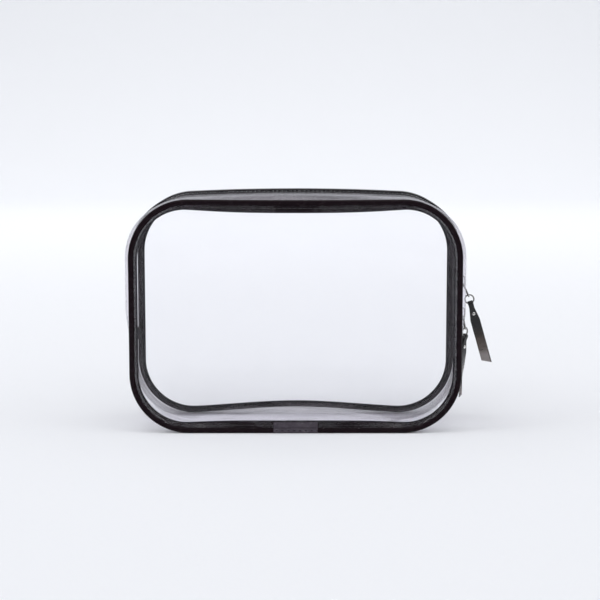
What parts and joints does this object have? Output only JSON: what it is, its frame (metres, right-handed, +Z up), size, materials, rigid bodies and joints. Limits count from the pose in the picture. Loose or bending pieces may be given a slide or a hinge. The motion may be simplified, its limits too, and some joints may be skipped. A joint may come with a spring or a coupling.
{
  "type": "clear makeup bag",
  "caption": "Clear vinyl makeup bag with rounded corners, black piping, a coil zip round the top and sides, and head-to-head sliders with ring and strap pulls.",
  "frame": {"origin": "middle of the underside of the base, where the bag stands", "axes": "+X along the bag to the side with the sliders, -Y out of the front panel, +Z up"},
  "size_m": [0.2353, 0.0708, 0.1531],
  "materials": {
    "clear_vinyl": "clear flexible vinyl sheet, glossy, faint lilac-grey tint",
    "black_vinyl": "glossy black vinyl",
    "binding_tape": "black woven binding tape",
    "zip_tape": "black woven polyester zip tape",
    "zip_coil": "black nylon coil",
    "piping_cord": "twisted cord filler",
    "slider_metal": "polished nickel-plated zinc",
    "wire_metal": "bright nickel-plated steel wire",
    "strap_vinyl": "smoky black vinyl strap",
    "rivet_metal": "bright nickel rivet"
  },
  "bodies": {
    "bag": {"front_panel_lower": "clear_vinyl", "back_panel": "clear_vinyl", "base_gusset": "clear_vinyl", "zip_strip_front_left": "clear_vinyl", "zip_strip_front_right": "clear_vinyl", "zip_strip_back": "clear_vinyl", "zip_tape_front_left": "zip_tape", "zip_tape_front_right": "zip_tape", "zip_tape_back": "zip_tape", "zip_coil_front_left": "zip_coil", "zip_coil_front_right": "zip_coil", "zip_coil_back": "zip_coil", "zip_end_tab_left": "binding_tape", "zip_end_tab_right": "binding_tape", "front_seam_binding_lower": "binding_tape", "back_seam_binding": "binding_tape", "front_piping_lower": "black_vinyl", "back_piping": "black_vinyl", "front_piping_joint": "black_vinyl", "back_piping_joint": "black_vinyl", "front_piping_cord_lower": "piping_cord", "back_piping_cord": "piping_cord"},
    "front_flap": {"front_panel_upper": "clear_vinyl", "zip_strip_front_top": "clear_vinyl", "zip_tape_front_top": "zip_tape", "zip_coil_front_top": "zip_coil", "front_piping_upper": "black_vinyl", "front_piping_cord_upper": "piping_cord", "front_seam_binding_upper": "binding_tape"},
    "upper_slider": {"upper_slider": "slider_metal"},
    "upper_link": {"upper_puller_link": "wire_metal"},
    "upper_ring": {"upper_pull_ring": "wire_metal"},
    "upper_strap": {"upper_pull_strap": "strap_vinyl", "upper_pull_rivet": "rivet_metal"},
    "lower_slider": {"lower_slider": "slider_metal"},
    "lower_link": {"lower_puller_link": "wire_metal"},
    "lower_ring": {"lower_pull_ring": "wire_metal"},
    "lower_strap": {"lower_pull_strap": "strap_vinyl", "lower_pull_rivet": "rivet_metal"}
  },
  "joints": [
    {"name": "mouth_fold", "type": "hinge", "parent": "bag", "child": "front_flap", "pos_m": [0, -0.0352, 0.1105], "axis": [1, 0, 0], "range_deg": [0, 50]},
    {"name": "upper_slider_travel", "type": "slide", "parent": "bag", "child": "upper_slider", "axis": [0, 0, 1], "range_m": [-0.0015, 0.009]},
    {"name": "upper_link_swing", "type": "hinge", "parent": "upper_slider", "child": "upper_link", "pos_m": [0.109, 0, 0.09155], "axis": [0, -1, 0], "range_deg": [-2, 120]},
    {"name": "upper_ring_swing", "type": "hinge", "parent": "upper_link", "child": "upper_ring", "pos_m": [0.11258, 0, 0.08351], "axis": [0, -1, 0], "range_deg": [-2, 40]},
    {"name": "upper_strap_swing", "type": "hinge", "parent": "upper_ring", "child": "upper_strap", "pos_m": [0.11391, 0, 0.07886], "axis": [0.9613, 0, 0.2756], "range_deg": [-70, 70]},
    {"name": "lower_slider_travel", "type": "slide", "parent": "bag", "child": "lower_slider", "axis": [0, 0, 1], "range_m": [-0.0015, 0.002]},
    {"name": "lower_link_swing", "type": "hinge", "parent": "lower_slider", "child": "lower_link", "pos_m": [0.109, 0, 0.07085], "axis": [0, -1, 0], "range_deg": [-1, 12]},
    {"name": "lower_ring_swing", "type": "hinge", "parent": "lower_link", "child": "lower_ring", "pos_m": [0.11053, 0, 0.06218], "axis": [0, -1, 0], "range_deg": [-1, 6]},
    {"name": "lower_strap_swing", "type": "hinge", "parent": "lower_ring", "child": "lower_strap", "pos_m": [0.11019, 0, 0.05736], "axis": [0.6403, 0.7668, -0.0448], "range_deg": [-40, 2]}
  ]
}
